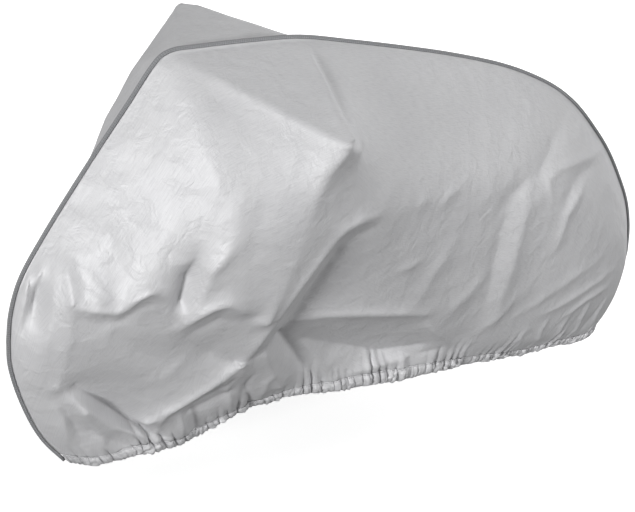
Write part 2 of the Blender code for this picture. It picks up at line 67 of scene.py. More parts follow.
# The gathered hem, from the front tip to the rear tip. columns: x, half-width y, z
hemCurve = (
    (800, 0, 98), (740, 45, 90), (640, 58, 100), (520, 55, 108),
    (410, 85, 140), (250, 120, 182), (60, 130, 186), (-150, 115, 176),
    (-330, 80, 152), (-480, 58, 118), (-640, 55, 105), (-760, 45, 88),
    (-850, 0, 90),
)

# How far the cloth stands from the middle plane before any fold, a row for each section.
# columns: share of the way from the front nose to the rear nose, then the half-width at each of the depths
depths = (0.0, 0.06, 0.16, 0.35, 0.62, 0.86, 1.0)  # share of the way from the seam to the hem
sections = (
    (0.00, 0.000, 0.000, 0.000, 0.000, 0.000, 0.000, 0.000),
    (0.06, 0.000, 0.014, 0.034, 0.060, 0.070, 0.060, 0.040),
    (0.16, 0.000, 0.028, 0.068, 0.120, 0.140, 0.105, 0.058),
    (0.26, 0.000, 0.040, 0.095, 0.165, 0.180, 0.125, 0.055),
    (0.33, 0.000, 0.045, 0.108, 0.180, 0.190, 0.135, 0.070),
    (0.39, 0.000, 0.048, 0.110, 0.180, 0.185, 0.150, 0.100),
    (0.46, 0.000, 0.046, 0.105, 0.170, 0.180, 0.155, 0.120),
    (0.54, 0.000, 0.044, 0.102, 0.160, 0.175, 0.155, 0.130),
    (0.64, 0.000, 0.042, 0.096, 0.150, 0.165, 0.148, 0.112),
    (0.76, 0.000, 0.036, 0.080, 0.130, 0.150, 0.128, 0.074),
    (0.88, 0.000, 0.024, 0.056, 0.092, 0.108, 0.092, 0.056),
    (0.96, 0.000, 0.010, 0.026, 0.046, 0.054, 0.048, 0.040),
    (1.00, 0.000, 0.000, 0.000, 0.000, 0.000, 0.000, 0.000),
)

# Folds, each a line of points that the cloth passes through. columns of a point: x, z, half-width y
leftFolds = {
    "frontOfBar": ((571, 1119, 4), (319, 1007, 350)),
    "backOfBar": ((234, 1111, 4), (300, 1014, 340)),
    "gripTail": ((321, 1005, 350), (296, 990, 341), (259, 972, 318)),
    "behindGrip": ((210, 1003, 212), (216, 985, 232), (192, 950, 244)),
    "belowGrip": (
        (327, 991, 349), (361, 954, 347), (382, 898, 342), (393, 818, 332), (407, 730, 318),
        (424, 638, 300), (443, 557, 283),
    ),
    "sideLip": ((301, 782, 318), (249, 796, 312), (191, 797, 300)),
    "flapEdge": (
        (301, 782, 318), (338, 718, 308), (377, 647, 293), (407, 572, 272), (437, 486, 245),
        (442, 424, 215), (442, 350, 175),
    ),
    "behindFlap": ((274, 715, 282), (301, 619, 246), (331, 524, 212), (346, 466, 186)),
    "facetRear": ((186, 790, 298), (114, 684, 268), (37, 608, 250)),
    "pedalLip": (
        (341, 503, 205), (287, 507, 214), (209, 498, 220), (120, 481, 222), (27, 458, 218),
        (-69, 427, 207),
    ),
    "pedalEnd": ((-69, 427, 207), (-108, 353, 180), (-237, 247, 135)),
    "underPedal": ((265, 408, 146), (127, 337, 116), (-4, 279, 102), (-112, 287, 130)),
    "frontValley": ((354, 468, 180), (301, 392, 148), (247, 314, 126), (176, 240, 112)),
    "shinRidge": ((390, 413, 200), (349, 339, 168), (295, 255, 130)),
    "pinchEdge": ((760, 763, 116), (744, 732, 140), (735, 696, 160), (744, 655, 172)),
    "noseBand": ((837, 714, 47), (847, 675, 84), (848, 644, 110), (849, 617, 124)),
    "seamRidge": ((913, 625, 29), (920, 575, 28), (922, 517, 26)),
    "noseValley": ((889, 655, 38), (897, 589, 35), (906, 535, 46)),
    "bandEdge": ((848, 614, 120), (854, 498, 104), (861, 372, 72)),
    "wheelLip": (
        (848, 614, 120), (806, 606, 150), (768, 602, 164), (750, 615, 176), (732, 648, 198),
        (707, 666, 214), (687, 652, 214), (664, 636, 212), (650, 594, 207), (625, 554, 206),
    ),
    "foldCrest": ((557, 765, 278), (585, 714, 264), (603, 630, 232), (623, 556, 206)),
    "foldValley": ((603, 751, 228), (615, 683, 206), (627, 615, 194)),
    "hubLip": (
        (623, 554, 206), (598, 596, 236), (575, 619, 256), (548, 631, 270), (512, 601, 272),
        (466, 577, 266),
    ),
    "hubValley": ((603, 516, 190), (528, 449, 166), (458, 403, 178)),
    "tyreRidge": ((452, 408, 202), (503, 346, 166), (557, 306, 146), (608, 264, 126), (646, 226, 104)),
    "tyreSlit": ((444, 287, 122), (487, 255, 104), (532, 235, 94)),
    "wheelValley": ((822, 366, 66), (741, 281, 44), (664, 213, 48), (587, 155, 60)),
    "toeRidge": ((850, 343, 62), (797, 289, 86), (726, 173, 62)),
    "ankleFold": ((598, 254, 118), (563, 142, 78)),
}
rightFolds = {
    "frontOfBar": ((571, 1117, 4), (377, 1092, 352)),
    "backOfBar": ((234, 1108, 4), (352, 1104, 290), (377, 1092, 352)),
    "noseToBar": ((757, 872, 6), (674, 938, 98), (578, 992, 188), (377, 1092, 352)),
    "gripTail": ((377, 1092, 352), (330, 1030, 308)),
    "behindGrip": ((222, 1025, 176), (235, 1010, 200), (230, 960, 230)),
    "belowGrip": ((377, 1088, 352), (375, 960, 335), (352, 800, 300)),
    "flapEdge": ((352, 800, 300), (382, 640, 265), (430, 480, 225), (462, 300, 150)),
    "behindFlap": ((245, 700, 250), (262, 520, 190), (330, 360, 150)),
    "pedalLip": ((300, 470, 178), (120, 445, 200), (-60, 390, 185), (-200, 310, 160)),
    "underPedalLip": ((230, 405, 150), (70, 375, 152), (-90, 330, 148)),
    "noseRidge": ((830, 700, 60), (836, 600, 105), (856, 500, 100), (872, 400, 75)),
    "noseValley": ((892, 640, 24), (908, 560, 36), (912, 480, 46)),
    "wheelLip": ((820, 600, 130), (740, 640, 185), (640, 600, 205), (560, 520, 215)),
    "forkValley": ((640, 780, 186), (610, 690, 196), (640, 640, 200)),
    "forkRidge": ((560, 820, 235), (530, 700, 262), (560, 520, 215)),
    "wheelLedge": ((840, 340, 75), (740, 290, 112), (620, 262, 135), (500, 340, 170)),
    "saddleFold": ((-120, 860, 120), (-210, 640, 172), (-240, 430, 165)),
    "rearBand": ((-470, 720, 118), (-450, 540, 152), (-420, 340, 140), (-440, 190, 90)),
    "rearLip": ((-330, 240, 122), (-500, 275, 118), (-700, 300, 102)),
}

# Smaller folds, each a ridge or a hollow along a line.
# columns: height, reach to each side, roundness, then points x, z
leftWrinkles = {
    "barFrontEdge": (9, 17, 3, (580, 1113), (489, 1078), (400, 1043), (318, 1016)),
    "barBackEdge": (28, 12, 2, (242, 1114), (279, 1069), (307, 1039), (318, 1020)),
    "barBackShade": (-40, 15, 4, (238, 1101), (244, 1060), (260, 1032), (271, 1002)),
    "gripPocket": (-7, 10, 3, (307, 1013), (290, 993), (217, 947)),
    "wheelLipEdge": (
        13, 13, 2, (843, 608), (806, 606), (766, 600), (749, 614), (731, 646), (708, 667), (680, 646),
    ),
    "wheelLipDrop": (-8, 16, 5, (823, 578), (784, 570), (748, 575), (722, 609), (699, 624)),
    "hubLipEdge": (13, 14, 2, (625, 551), (597, 595), (574, 619), (545, 628), (506, 599)),
    "hubLipDrop": (-8, 14, 5, (593, 525), (567, 548), (542, 577), (499, 552)),
    "foldCrestEdge": (11, 15, 4, (544, 778), (581, 719), (599, 629), (620, 555)),
    "foldCrestDrop": (-9, 12, 5, (580, 745), (600, 690), (614, 634), (626, 580)),
    "sideLipEdge": (11, 16, 2, (311, 764), (285, 789), (243, 799), (182, 796)),
    "sideLipDrop": (-7, 16, 6, (260, 732), (228, 754), (188, 759)),
    "pedalLipEdge": (12, 17, 2, (338, 497), (260, 504), (148, 487), (25, 456), (-77, 424)),
    "flapEdgeLine": (10, 12, 2, (297, 782), (336, 716), (375, 645), (406, 571), (436, 481)),
    "flapDrop": (-9, 16, 6, (265, 728), (288, 647), (315, 563), (332, 474)),
    "tyreRidgeEdge": (13, 13, 2, (453, 401), (503, 345), (556, 305), (607, 264), (626, 190)),
    "tyreRidgeDrop": (-10, 10, 3, (450, 349), (484, 290), (539, 258)),
    "tyreTop": (7, 14, 3, (627, 541), (555, 477), (492, 426), (453, 401)),
    "toeRidgeEdge": (18, 14, 2, (856, 363), (793, 297), (719, 218), (606, 148)),
    "bandRidge": (8, 16, 6, (835, 735), (842, 689), (850, 625), (852, 496), (860, 376)),
    "bandFront": (14, 11, 3, (846, 710), (870, 640), (883, 559), (894, 473)),
    "bandBack": (-7, 14, 5, (816, 719), (821, 683), (822, 641)),
    "noseTuck": (-16, 13, 4, (888, 638), (894, 576), (902, 511)),
    "pinchShade": (-6, 16, 6, (800, 842), (789, 805), (787, 780)),
    "frontValleyLine": (-10, 14, 4, (348, 463), (290, 385), (238, 314), (180, 237)),
    "calfEdge": (8, 14, 4, (289, 430), (211, 336), (139, 238)),
    "hemLine2": (-6, 11, 4, (-79, 256), (-132, 258), (-194, 267)),
    "hemLine1": (7, 11, 3, (76, 237), (15, 240), (-51, 254)),
    "hemLine5": (7, 9, 3, (331, 201), (350, 296), (330, 326)),
    "hemLine6": (-8, 9, 3, (389, 217), (402, 295), (396, 352)),
    "legFold": (-9, 16, 6, (470, 380), (434, 419), (390, 444)),
    "rearBand": (12, 32, 10, (-379, 702), (-352, 617), (-335, 519), (-320, 406), (-326, 278)),
    "rearBandBack": (-9, 24, 12, (-322, 694), (-283, 618), (-271, 525), (-274, 393)),
    "saddleFold": (-9, 26, 14, (-617, 835), (-503, 790), (-425, 736), (-308, 699), (-249, 649)),
    "tailRidge": (8, 13, 2, (-742, 695), (-590, 712), (-503, 720), (-449, 709), (-464, 648)),
    "tailHollow": (-8, 18, 8, (-658, 680), (-566, 666), (-511, 620)),
    "tailFold": (8, 13, 4, (-618, 657), (-530, 593), (-501, 511)),
    "seamTuck1": (5, 8, 3, (-583, 885), (-615, 818)),
    "seamTuck2": (5, 8, 3, (-673, 804), (-600, 768)),
    "rearLip": (7, 13, 2, (-795, 347), (-695, 335), (-594, 314), (-503, 293)),
    "rearLipLow": (8, 10, 2, (-776, 298), (-677, 288), (-594, 251)),
    "rearLipHigh": (5, 14, 6, (-714, 415), (-618, 397), (-521, 370), (-421, 324)),
    "rearPucker1": (7, 7, 2, (-800, 252), (-773, 205), (-782, 145)),
    "rearPucker2": (7, 7, 2, (-710, 275), (-695, 214), (-703, 155)),
    "rearPucker3": (6, 7, 2, (-633, 259), (-615, 212), (-633, 154)),
    "rearPucker4": (6, 7, 2, (-540, 270), (-528, 228), (-541, 175)),
    "rearPucker5": (5, 7, 2, (-472, 260), (-455, 229), (-470, 179)),
    "rearPuckerDip": (-6, 8, 3, (-778, 233), (-748, 184), (-730, 152)),
    "stayFold1": (7, 22, 10, (-252, 506), (-181, 442), (-122, 364)),
    "stayFold2": (6, 24, 12, (-113, 632), (-44, 551), (-25, 482)),
    "stayFold3": (4, 16, 7, (-393, 406), (-328, 336), (-267, 277)),
    "bagCrease": (5, 9, 3, (71, 605), (34, 605), (2, 615)),
    "sideCrease1": (4, 9, 3, (-36, 738), (-75, 761), (-121, 768)),
    "sideCrease2": (3, 9, 4, (37, 769), (-10, 775)),
    "topTuck1": (-4, 14, 6, (-205, 1014), (-230, 968), (-223, 930)),
    "topTuck2": (4, 12, 5, (-409, 926), (-417, 872), (-377, 837)),
    "chestFold1": (8, 26, 12, (644, 994), (628, 931), (609, 868)),
    "chestFold2": (-7, 24, 10, (690, 926), (670, 860), (667, 781)),
    "chestFold3": (6, 16, 6, (633, 945), (671, 884), (686, 846)),
    "chestFold4": (5, 15, 6, (580, 963), (570, 913), (578, 854)),
    "chestFold5": (5, 12, 5, (625, 846), (658, 785), (673, 746)),
    "neckFold": (5, 18, 8, (694, 959), (678, 930), (661, 919)),
    "hipFold": (6, 22, 10, (511, 916), (534, 849), (546, 776)),
    "hipFold2": (-5, 20, 9, (483, 878), (500, 801), (507, 736)),
    "chestEdge": (6, 12, 3, (601, 747), (619, 721), (645, 723), (665, 730)),
    "chestEdge2": (-6, 14, 5, (597, 724), (607, 683), (644, 688)),
    "waistFold": (5, 13, 4, (748, 711), (732, 663), (710, 667)),
    "shoulderFold": (-4, 22, 10, (560, 1082), (505, 1043), (468, 997)),
    "bandTuck": (8, 9, 3, (813, 644), (798, 627), (783, 624)),
    "bandCrease": (6, 12, 4, (817, 687), (796, 659), (771, 629)),
    "facetSoft1": (5, 24, 12, (811, 547), (758, 464), (659, 387)),
    "facetSoft2": (-5, 24, 12, (772, 549), (697, 479), (595, 413)),
    "facetSoft3": (5, 20, 9, (655, 361), (616, 402), (577, 453)),
    "toeFold": (9, 12, 3, (869, 330), (839, 260), (813, 156)),
    "toeShade": (-13, 14, 4, (826, 283), (759, 207), (659, 131)),
    "toeHollow": (-12, 17, 5, (848, 314), (815, 252), (775, 164)),
    "toeFold2": (7, 12, 4, (761, 223), (733, 159), (688, 124)),
    "ankleTuck1": (12, 9, 2, (565, 248), (526, 119)),
    "ankleTuck2": (10, 8, 2, (612, 232), (594, 118)),
    "ankleTuck3": (-10, 9, 3, (522, 230), (490, 136)),
    "hemTuck1": (11, 9, 2, (476, 350), (403, 179)),
    "hemTuck2": (-10, 9, 3, (403, 301), (328, 157)),
    "hemTuck3": (9, 9, 2, (143, 248), (115, 183)),
    "hemTuck4": (9, 9, 2, (-56, 265), (-71, 199)),
    "hemTuck5": (6, 10, 4, (47, 248), (-40, 244), (-122, 263)),
    "underFold": (6, 12, 5, (-61, 396), (-152, 319), (-222, 254)),
}
rightWrinkles = {
    "chestFold": (10, 30, 10, (700, 900), (640, 820), (600, 740)),
    "chestFoldBack": (-8, 26, 10, (620, 960), (560, 860), (530, 780)),
    "saddleRidge": (9, 24, 9, (-120, 880), (-210, 660), (-240, 430)),
    "saddleHollow": (-8, 22, 9, (-180, 860), (-260, 650), (-290, 440)),
    "rearRidge": (13, 30, 12, (-480, 720), (-460, 540), (-430, 340), (-440, 210)),
    "barFrontEdge": (8, 17, 3, (560, 1115), (480, 1106), (390, 1094)),
    "noseToBarEdge": (9, 18, 4, (740, 884), (660, 944), (570, 996), (420, 1070)),
    "wheelLipEdge": (11, 15, 3, (820, 600), (740, 640), (640, 600), (560, 520)),
    "wheelLipDrop": (-10, 18, 5, (790, 575), (730, 605), (660, 575), (600, 520)),
    "flapEdgeLine": (10, 15, 3, (356, 800), (382, 640), (430, 480), (462, 320)),
    "flapDrop": (-11, 20, 6, (330, 760), (352, 640), (396, 490), (430, 360)),
    "pedalLipEdge": (11, 17, 3, (300, 472), (120, 446), (-60, 391), (-200, 312)),
    "kneeFold": (8, 18, 6, (240, 900), (170, 760), (150, 640)),
    "kneeCrease": (-6, 14, 4, (80, 800), (20, 690), (10, 600)),
    "forkCrease": (9, 14, 4, (690, 760), (650, 680), (660, 620)),
    "hubCrease": (8, 14, 4, (560, 500), (600, 400), (660, 320)),
    "toeCrease": (9, 13, 3, (840, 320), (770, 250), (690, 200)),
    "toeCreaseLow": (7, 11, 3, (800, 230), (730, 170), (660, 140)),
    "noseTuck": (7, 10, 3, (880, 660), (850, 600), (840, 520)),
    "saddleTuck": (6, 13, 4, (-60, 1030), (-100, 960), (-160, 900)),
    "rackTuck": (7, 13, 4, (-360, 960), (-380, 880), (-430, 820)),
    "tailTuck": (6, 10, 3, (-560, 860), (-560, 790), (-600, 730)),
    "tailTuckLow": (6, 10, 3, (-700, 740), (-680, 680), (-700, 620)),
    "tailFoldHigh": (9, 18, 6, (-780, 640), (-660, 590), (-560, 520)),
    "tailFold": (10, 16, 5, (-840, 540), (-720, 480), (-600, 400)),
    "tailFoldLow": (12, 14, 4, (-880, 400), (-740, 320), (-600, 250), (-520, 200)),
    "rearHemFold": (9, 12, 3, (-820, 280), (-720, 210), (-640, 160)),
    "stayFold": (8, 18, 6, (-80, 600), (-150, 480), (-180, 380)),
    "hemTuck1": (8, 10, 3, (560, 240), (548, 150)),
    "hemTuck2": (8, 10, 3, (360, 300), (340, 200)),
    "hemTuck3": (7, 10, 3, (160, 320), (150, 220)),
    "hemTuck4": (8, 10, 3, (-20, 310), (-40, 210)),
    "hemTuck5": (7, 10, 3, (-260, 260), (-280, 180)),
}

clothMesh = {
    "columns": 330,  # cells from front to rear
    "rows": 144,  # cells from seam to hem
    "alongAt": (0.0, 0.30, 0.62, 1.0),  # even shares of the columns, and where each one is put
    "alongTo": (0.0, 0.255, 0.565, 1.0),
    "downAt": (0.0, 0.12, 0.40, 0.80, 0.90, 1.0),  # the same for the rows
    "downTo": (0.0, 0.08, 0.37, 0.84, 0.93, 1.0),
    "solveColumns": 400,
    "solveRows": 200,
    "foldStep": 0.003,  # spacing of the points that hold a fold
    "foldHold": 60.0,  # how firmly a fold line holds the cloth against its own tension
    "solveRounds": 700,
    "wrinkleTip": 0.03,  # share of a wrinkle's length that keeps its ends from fading to nothing
    "seamFade": 0.03,  # wrinkles fade out where the cloth is this close to the middle plane
    "curveSteps": 40,  # for each given point, while a curve's length is measured
    "justInside": 1e-6,
    "flat": (2.06, 1.20),
    "flatArea": 1.93,
}


def metres(table):
    return np.array(table, float) / 1000


def spline(points, steps):  # evenly spaced points on a smooth curve
    points = metres(points)
    chords = np.linalg.norm(np.diff(points, axis=0), axis=1) ** 0.5
    at = np.concatenate([[0.0], np.cumsum(chords)])
    slopes = np.gradient(points, at, axis=0)
    fine = np.linspace(0.0, at[-1], clothMesh["curveSteps"] * len(points))
    k = np.clip(np.searchsorted(at, fine, side="right") - 1, 0, len(at) - 2)
    width = at[k + 1] - at[k]
    t = ((fine - at[k]) / width)[:, None]
    width = width[:, None]
    curve = (
        (2 * t**3 - 3 * t**2 + 1) * points[k]
        + (t**3 - 2 * t**2 + t) * width * slopes[k]
        + (3 * t**2 - 2 * t**3) * points[k + 1]
        + (t**3 - t**2) * width * slopes[k + 1]
    )
    along = np.concatenate([[0.0], np.cumsum(np.linalg.norm(np.diff(curve, axis=0), axis=1))])
    even = np.linspace(0.0, along[-1], steps + 1)
    return np.stack([np.interp(even, along, curve[:, k]) for k in range(points.shape[1])], axis=1)


def smoothThrough(at, values, wanted):  # a smooth curve that never overshoots its given values
    at = np.asarray(at, float)
    values = np.asarray(values, float)
    rise = np.diff(values) / np.diff(at)
    slope = np.zeros(len(at))
    sameWay = rise[:-1] * rise[1:] > 0
    total = np.where(sameWay, rise[:-1] + rise[1:], 1.0)
    slope[1:-1][sameWay] = (2 * rise[:-1] * rise[1:] / total)[sameWay]
    slope[0] = rise[0]
    slope[-1] = rise[-1]
    k = np.clip(np.searchsorted(at, wanted, side="right") - 1, 0, len(at) - 2)
    width = at[k + 1] - at[k]
    t = (wanted - at[k]) / width
    return (
        (2 * t**3 - 3 * t**2 + 1) * values[k]
        + (t**3 - 2 * t**2 + t) * width * slope[k]
        + (3 * t**2 - 2 * t**3) * values[k + 1]
        + (t**3 - t**2) * width * slope[k + 1]
    )


def sideView(columns, rows):  # x and z of a panel's grid, filled in between the seam and the hem
    u = np.linspace(0.0, 1.0, columns + 1)[:, None, None]
    v = np.linspace(0.0, 1.0, rows + 1)[None, :, None]
    top = spline(seamCurves["top"], columns)[:, None, :]
    hem = spline(hemCurve, columns)[:, None, [0, 2]]
    front = spline(seamCurves["frontLow"], rows)[::-1][None, :, :]
    rear = spline(seamCurves["rearLow"], rows)[None, :, :]
    corners = (
        (1 - u) * ((1 - v) * top[0, 0] + v * hem[0, 0]) + u * ((1 - v) * top[-1, 0] + v * hem[-1, 0])
    )
    return (1 - v) * top + v * hem + (1 - u) * front + u * rear - corners


def bulge(columns, rows):  # half-width of the unfolded cloth, smoothly between the sections
    table = np.array(sections)
    down = np.linspace(0.0, 1.0, rows + 1)
    across = np.linspace(0.0, 1.0, columns + 1)
    byDepth = np.array([smoothThrough(depths, row, down) for row in table[:, 1:]])
    return np.array([smoothThrough(table[:, 0], byDepth[:, k], across) for k in range(rows + 1)]).T


def foldSamples(folds):  # points every few millimetres along every fold line
    found = []
    for line in folds.values():
        line = metres(line)
        for start, end in zip(line[:-1], line[1:]):
            steps = max(2, int(np.linalg.norm(end - start) / clothMesh["foldStep"]))
            found.append(start + (end - start) * np.linspace(0.0, 1.0, steps + 1)[:, None])
    return np.concatenate(found)


def placesIn(plan, points):  # each point's cell in the side view's grid, as four corners and their shares
    columns, rows = plan.shape[0] - 1, plan.shape[1] - 1
    flat = plan.reshape(-1, 2)
    nearest = np.array([np.argmin((flat[:, 0] - x) ** 2 + (flat[:, 1] - z) ** 2) for x, z in points])
    i0 = np.clip(nearest // (rows + 1), 1, columns - 1)
    j0 = np.clip(nearest % (rows + 1), 1, rows - 1)
    along = (plan[i0 + 1, j0] - plan[i0 - 1, j0]) / 2
    down = (plan[i0, j0 + 1] - plan[i0, j0 - 1]) / 2
    gap = points - plan[i0, j0]
    scale = along[:, 0] * down[:, 1] - along[:, 1] * down[:, 0]
    last = clothMesh["justInside"]
    s = np.clip(i0 + (gap[:, 0] * down[:, 1] - gap[:, 1] * down[:, 0]) / scale, 0, columns - last)
    t = np.clip(j0 + (along[:, 0] * gap[:, 1] - along[:, 1] * gap[:, 0]) / scale, 0, rows - last)
    i, j = s.astype(int), t.astype(int)
    s, t = s - i, t - j
    corner = i * (rows + 1) + j
    corners = np.stack([corner, corner + rows + 1, corner + 1, corner + rows + 2], axis=1)
    shares = np.stack([(1 - s) * (1 - t), s * (1 - t), (1 - s) * t, s * t], axis=1)
    return corners, shares


def wrinkled(plan, wrinkles):  # height that the smaller folds add over the grid
    added = np.zeros(plan.shape[:2])
    tip = clothMesh["wrinkleTip"]
    for wrinkle in wrinkles.values():
        height, reach, roundness = metres(wrinkle[:3])
        line = metres(wrinkle[3:])
        lengths = np.linalg.norm(np.diff(line, axis=0), axis=1)
        starts = np.concatenate([[0.0], np.cumsum(lengths)])
        nearest = np.full(plan.shape[:2], np.inf)
        place = np.zeros(plan.shape[:2])
        for start, end, before, length in zip(line[:-1], line[1:], starts, lengths):
            share = np.clip(((plan - start) @ (end - start)) / length**2, 0.0, 1.0)
            gap = np.linalg.norm(plan - start - share[..., None] * (end - start), axis=-1)
            closer = gap < nearest
            nearest[closer] = gap[closer]
            place[closer] = (before + share * length)[closer]
        taper = np.sqrt(np.sin(math.pi * np.clip(place / starts[-1], tip, 1 - tip)))
        added += height * taper * np.exp(-(np.sqrt(nearest**2 + roundness**2) - roundness) / reach)
    return added


def stretched(folds):  # the sections' bulge, pulled taut through every fold line like a membrane
    hold = clothMesh["foldHold"]
    plan = sideView(clothMesh["solveColumns"], clothMesh["solveRows"])
    base = bulge(clothMesh["solveColumns"], clothMesh["solveRows"])
    lines = foldSamples(folds)
    corners, shares = placesIn(plan, lines[:, :2])
    wanted = lines[:, 2] - (base.reshape(-1)[corners] * shares).sum(axis=1)
    inside = np.zeros_like(base, bool)
    inside[1:-1, 1:-1] = True

    def spread(values):
        back = np.bincount(corners.reshape(-1), (shares * values[:, None]).reshape(-1), base.size)
        return hold * back.reshape(base.shape) * inside

    def pull(offset):
        tension = np.zeros_like(offset)
        tension[1:-1, 1:-1] = 4 * offset[1:-1, 1:-1] - (
            offset[:-2, 1:-1] + offset[2:, 1:-1] + offset[1:-1, :-2] + offset[1:-1, 2:]
        )
        return tension + spread((offset.reshape(-1)[corners] * shares).sum(axis=1))

    held = np.bincount(corners.reshape(-1), (shares**2).reshape(-1), base.size)
    weight = 4.0 + hold * held.reshape(base.shape)
    offset = np.zeros_like(base)
    left = spread(wanted)
    step = left / weight
    size = (left * step).sum()
    for _ in range(clothMesh["solveRounds"]):
        pulled = pull(step)
        length = size / (step * pulled).sum()
        offset += length * step
        left -= length * pulled
        scaled = left / weight
        sizeBefore, size = size, (left * scaled).sum()
        step = scaled + size / sizeBefore * step
    return plan, base + offset


def sample(grid, u, v):  # value of a grid over the unit square
    a = u * (grid.shape[0] - 1)
    b = v * (grid.shape[1] - 1)
    i = np.clip(a.astype(int), 0, grid.shape[0] - 2)
    j = np.clip(b.astype(int), 0, grid.shape[1] - 2)
    s = (a - i)[..., None]
    t = (b - j)[..., None]
    grid = grid.reshape(grid.shape[0], grid.shape[1], -1)
    return (
        grid[i, j] * (1 - s) * (1 - t) + grid[i + 1, j] * s * (1 - t)
        + grid[i, j + 1] * (1 - s) * t + grid[i + 1, j + 1] * s * t
    )


# The pleats that the elastic draws in. Their uneven size and spacing are sums of slow waves.
# columns of a wave: amount, radians for each metre along the hem, radians at its front tip
hemGathers = {
    "pitch": 0.026,  # one pleat and one hollow
    "wander": ((2.4, 9.0, 0.0), (1.3, 23.0, 1.0), (0.9, 57.0, 2.0)),
    # columns: amount, times as many as the pleats, radians at the tip, radians for each metre up
    "finer": ((0.38, 2.0, 0.8, 0.0), (0.22, 3.1, 2.0, 90.0)),
    "depth": 0.0135,
    "size": 0.58,  # mean share of that depth
    "sizes": ((0.34, 31.0, 0.6), (0.26, 71.0, 0.0), (0.16, 127.0, 0.0)),
    "leastSize": 0.08,
    "tipFade": 0.04,  # length at each tip of the hem over which the pleats fade out
    "reach": 0.118,  # how far up the cloth the pleats run
    "reachLeast": 0.55,  # share of the reach that the smallest pleat has
    "reachMore": 0.65,  # and what a full one has on top of it
    "risePower": 1.5,  # pleats grow slowly at first and faster towards the hem
    "atEdge": 0.45,  # share of the depth at the hem's edge, which grows up to the row of stitches
    "lift": 0.40,  # share of a pleat's swing that raises the hem
    "lean": 0.25,  # and that moves it along
    "room": 0.04,  # pleats are smaller where the cloth is closer to the middle plane than this
    "casing": 0.038,  # height of the sewn tunnel that holds the elastic
    "overlap": 0.003,  # of the panel and the casing
    "gap": 0.0003,  # between the two, so that they don't touch
    "puff": 0.0026,  # how far the casing bulges over the elastic
    "pinch": 0.0018,  # how deep the row of stitches pulls in
    "stitchWidth": 0.0045,
    "roll": 0.009,  # how far the lower edge curls in
    "rollHeight": 0.016,
    "tipGap": 0.004,  # share of the hem left free at each tip
    "measured": 0.1,  # share of the cloth's height, next to the hem, that its slope is measured on
    "leastMeasured": 0.02,
    "columns": 1500,
    "rows": 18,
}

# The casing's own small pleats, set by the elastic inside it
crinkle = {
    "pitch": 0.0135,
    "wander": ((3.0, 14.0, 0.0), (1.6, 41.0, 0.0)),
    "depth": 0.0056,
    "size": 0.58,
    "sizes": ((0.32, 37.0, 0.0), (0.26, 93.0, 1.0)),
    "leastSize": 0.12,
    # columns: amount, radians down the casing, radians for each metre along it
    "slants": ((2.2, 3.0, 19.0), (1.2, 7.0, 47.0)),
    "crossing": 0.5,  # share of a second set of pleats that crosses the first
    "crossingPitch": 0.21,
    "crossingDown": 1.9,
    "crossingSlant": 0.8,
    "archFrom": 0.05,  # the pleats arch between the casing's edges, from this share of half a turn
    "archOver": 0.82,
    "archPower": 0.8,
}


def hungCloth(folds, wrinkles):  # a panel's plan and half-width, ready to be sampled anywhere
    plan, width = stretched(folds)
    free = np.clip(width / clothMesh["seamFade"], 0.0, 1.0)
    width = np.maximum(width + wrinkled(plan, wrinkles) * free, 0.0)
    hem = np.concatenate([plan[:, -1], width[:, -1:]], axis=1)
    along = np.concatenate([[0.0], np.cumsum(np.linalg.norm(np.diff(hem, axis=0), axis=1))])
    return {"plan": plan, "width": width, "along": along}


def rawPoints(cloth, u, v):
    places = sample(cloth["plan"], u, v)
    return np.stack([places[..., 0], sample(cloth["width"], u, v)[..., 0], places[..., 1]], axis=-1)


def uneven(waves, along, value=0.0):  # the value with slow waves added to it
    for amount, rate, start in waves:
        value = value + amount * np.sin(along * rate + start)
    return value


def pleatWave(turn, up):  # a pleat's outline, made less regular by finer waves
    wave = np.sin(turn)
    for amount, times, start, climb in hemGathers["finer"]:
        wave = wave + amount * np.sin(times * turn + start + up * climb)
    return wave


def clothPoints(cloth, u, v):  # mid-surface of a panel on the +y side, with the elastic's pleats
    points = rawPoints(cloth, u, v)
    edge = rawPoints(cloth, u, np.ones_like(v))
    up = np.linalg.norm(points - edge, axis=-1)  # height above the hem's edge
    along = np.interp(u, np.linspace(0.0, 1.0, len(cloth["along"])), cloth["along"])
    total = cloth["along"][-1]
    wander = uneven(hemGathers["wander"], along)
    turn = 2 * math.pi * along / hemGathers["pitch"] + wander
    size = uneven(hemGathers["sizes"], along, hemGathers["size"])
    size = np.maximum(size, hemGathers["leastSize"])
    fade = np.clip(np.minimum(along, total - along) / hemGathers["tipFade"], 0.0, 1.0)
    wave = pleatWave(turn, up) * (size * fade)
    reach = hemGathers["reach"] * (hemGathers["reachLeast"] + hemGathers["reachMore"] * size)
    rise = np.clip(1 - up / reach, 0.0, 1.0)
    inCasing = np.clip(up / hemGathers["casing"], 0.0, 1.0)
    gather = hemGathers["atEdge"] + (1 - hemGathers["atEdge"]) * inCasing
    stitch = np.exp(-(((up - hemGathers["casing"]) / hemGathers["stitchWidth"]) ** 2))
    tunnel = np.sin(math.pi * inCasing)
    swing = wave * gather * rise ** hemGathers["risePower"] * hemGathers["depth"]
    out = swing + fade * (hemGathers["puff"] * tunnel - hemGathers["pinch"] * stitch)
    out -= np.clip(1 - up / hemGathers["rollHeight"], 0.0, 1.0) ** 2 * hemGathers["roll"]
    room = np.clip(points[..., 1] / hemGathers["room"], 0.0, 1.0)
    points[..., 1] += out * room
    points[..., 2] += hemGathers["lift"] * swing * room
    points[..., 0] += hemGathers["lean"] * np.gradient(swing, axis=0) * room
    points[..., 1] = np.maximum(points[..., 1], 0.0) + layout["seamHalfGap"] + layout["clothThickness"] / 2
    return points


def placesFor(count, at, to):  # count + 1 places from 0 to 1, closest together where the folds are
    return smoothThrough(clothMesh[at], clothMesh[to], np.linspace(0.0, 1.0, count + 1))


